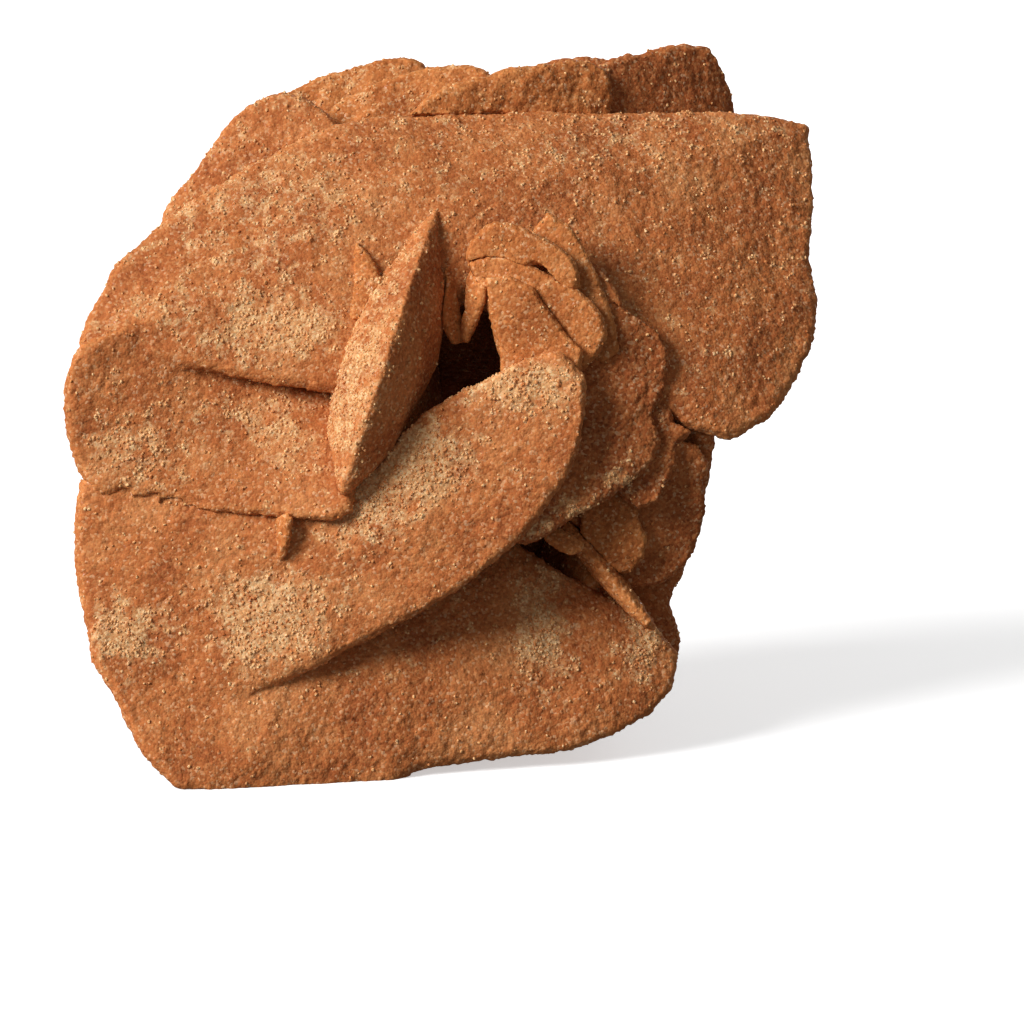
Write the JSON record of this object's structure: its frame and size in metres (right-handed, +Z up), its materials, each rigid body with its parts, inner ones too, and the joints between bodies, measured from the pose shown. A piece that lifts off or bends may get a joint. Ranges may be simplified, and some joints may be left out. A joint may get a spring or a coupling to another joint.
{
  "type": "gypsum sand rose",
  "caption": "Desert rose: sand-filled gypsum crystals, lens-shaped blades grown through one another into a rosette that rests on its worn lowest rims.",
  "frame": {"origin": "bottom centre of the rose's bounding box, on the surface it rests on", "axes": "+Z up; -Y towards the viewer who faces the rose's open heart; +X to that viewer's right"},
  "size_m": [0.0762, 0.0488, 0.0694],
  "materials": {
    "sunlit_sand_gypsum": "matt sugary sand crust on gypsum, pale tan grains over orange brown",
    "amber_sand_gypsum": "matt fine sand crust, a little translucent and orange at the thin rims",
    "russet_sand_gypsum": "matt sand-filled gypsum, redder and barer than the upper faces"
  },
  "bodies": {
    "root": {"upper_front": "sunlit_sand_gypsum", "lower_front": "sunlit_sand_gypsum", "base_front": "sunlit_sand_gypsum", "middle_left": "sunlit_sand_gypsum", "ridge_crystal": "sunlit_sand_gypsum", "ridge_spur": "amber_sand_gypsum", "ledge_fin": "amber_sand_gypsum", "heart_petal_1": "amber_sand_gypsum", "heart_petal_2": "amber_sand_gypsum", "heart_petal_3": "amber_sand_gypsum", "heart_petal_4": "amber_sand_gypsum", "heart_petal_5": "russet_sand_gypsum", "heart_fan": "russet_sand_gypsum", "heart_fan_back": "russet_sand_gypsum", "pit_leaf": "amber_sand_gypsum", "pit_leaf_left": "amber_sand_gypsum", "under_fan": "russet_sand_gypsum", "under_fan_step": "amber_sand_gypsum", "needle": "amber_sand_gypsum", "needle_wedge": "amber_sand_gypsum", "right_low": "russet_sand_gypsum", "crown_1": "sunlit_sand_gypsum", "crown_2": "amber_sand_gypsum", "crown_3": "amber_sand_gypsum", "crown_4": "amber_sand_gypsum", "crown_5": "russet_sand_gypsum", "crown_6": "russet_sand_gypsum", "crown_bed": "russet_sand_gypsum", "spine": "russet_sand_gypsum", "back_upper": "russet_sand_gypsum", "back_lower": "russet_sand_gypsum", "back_left": "russet_sand_gypsum", "back_right": "russet_sand_gypsum", "back_step": "amber_sand_gypsum", "side_left": "amber_sand_gypsum", "side_right": "amber_sand_gypsum", "underside": "russet_sand_gypsum", "upper_rear_fan": "amber_sand_gypsum"}
  },
  "joints": []
}
